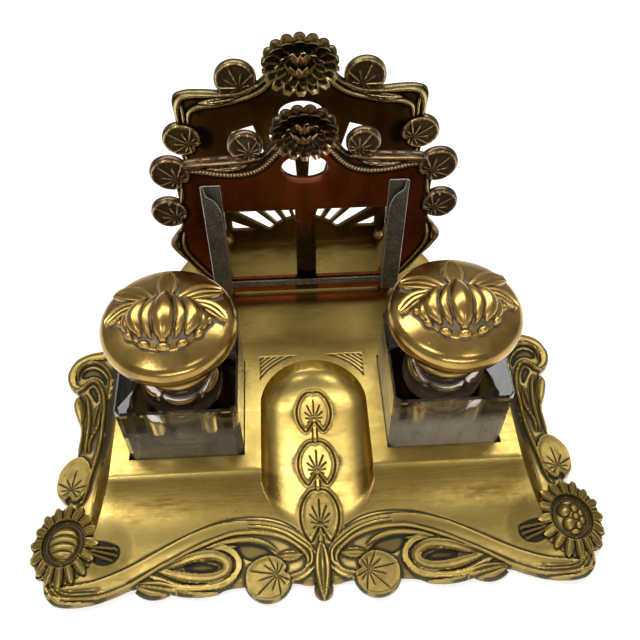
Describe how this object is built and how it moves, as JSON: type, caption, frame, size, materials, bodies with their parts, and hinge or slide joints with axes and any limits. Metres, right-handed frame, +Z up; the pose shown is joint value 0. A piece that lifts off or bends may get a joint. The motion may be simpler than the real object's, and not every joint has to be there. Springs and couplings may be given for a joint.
{
  "type": "desk inkstand",
  "caption": "Art Nouveau brass desk inkstand with square glass inkwells under hinged lids, a scooped pen tray and a pierced letter rack with a card holder.",
  "frame": {"origin": "middle of the footprint, on the table", "axes": "+X to the user's right, +Y to the letter rack at the back, +Z up"},
  "size_m": [0.281, 0.224, 0.1613],
  "materials": {
    "base_brass": "satin cast brass with dark patina in the hollows",
    "lid_brass": "polished brass, warm, worn on the high spots",
    "fittings_brass": "turned brass",
    "rack_brass": "olive-brown patinated brass",
    "dark_brass": "dark patinated brass",
    "copper_lacquer": "copper-brown lacquer over brass",
    "grey_metal": "dark grey oxidised sheet metal",
    "glass": "clear polished cut glass"
  },
  "bodies": {
    "stand": {"base": "base_brass", "rack_front_plate": "copper_lacquer", "rack_rear_plate": "rack_brass", "rack_bolts": "dark_brass", "rack_nuts": "dark_brass", "left_card_channel": "grey_metal", "right_card_channel": "grey_metal", "card_rail": "grey_metal"},
    "left_inkwell_unit": {"left_inkwell": "glass", "left_collar": "fittings_brass", "left_hinge_pin": "dark_brass"},
    "left_lid_unit": {"left_lid": "lid_brass", "left_lid_pan": "fittings_brass", "left_lily": "lid_brass"},
    "right_inkwell_unit": {"right_inkwell": "glass", "right_collar": "fittings_brass", "right_hinge_pin": "dark_brass"},
    "right_lid_unit": {"right_lid": "lid_brass", "right_lid_pan": "fittings_brass", "right_lily": "lid_brass"}
  },
  "joints": [
    {"name": "left_inkwell_lift", "type": "slide", "parent": "stand", "child": "left_inkwell_unit", "axis": [0, 0, 1], "range_m": [0, 0.05]},
    {"name": "left_lid_hinge", "type": "hinge", "parent": "left_inkwell_unit", "child": "left_lid_unit", "pos_m": [-0.0651, 0.0057, 0.0761], "axis": [-1, 0, 0], "range_deg": [0, 100]},
    {"name": "right_inkwell_lift", "type": "slide", "parent": "stand", "child": "right_inkwell_unit", "axis": [0, 0, 1], "range_m": [0, 0.05]},
    {"name": "right_lid_hinge", "type": "hinge", "parent": "right_inkwell_unit", "child": "right_lid_unit", "pos_m": [0.0651, 0.0057, 0.0761], "axis": [-1, 0, 0], "range_deg": [0, 100]}
  ]
}
